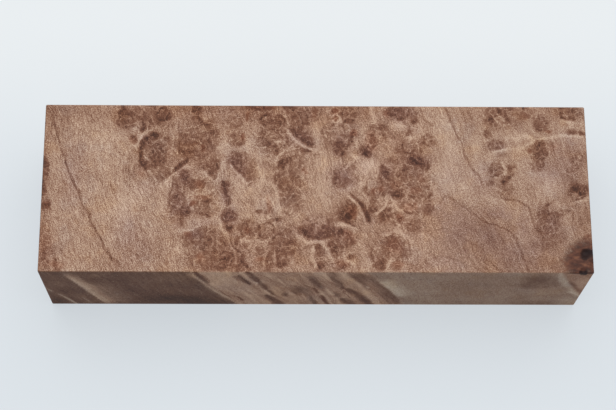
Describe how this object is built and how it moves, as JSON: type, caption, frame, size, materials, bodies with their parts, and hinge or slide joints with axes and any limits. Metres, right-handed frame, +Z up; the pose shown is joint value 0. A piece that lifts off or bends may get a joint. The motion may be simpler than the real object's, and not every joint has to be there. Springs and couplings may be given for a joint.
{
  "type": "stabilized burl blank",
  "caption": "Rectangular block of resin-stabilized burl wood with crisp sanded edges and a small bark pocket in one corner, stock for cutting handle scales or turning.",
  "frame": {"origin": "middle of the bottom face, on the surface that the blank rests on", "axes": "+X along the length, +Y across the width towards the back, +Z up through the thickness to the figured top face"},
  "size_m": [0.13, 0.042, 0.028],
  "materials": {
    "burl": "sanded stabilized burl, satin, tan with red-brown eyes"
  },
  "bodies": {
    "root": {"burl_blank": "burl"}
  },
  "joints": []
}
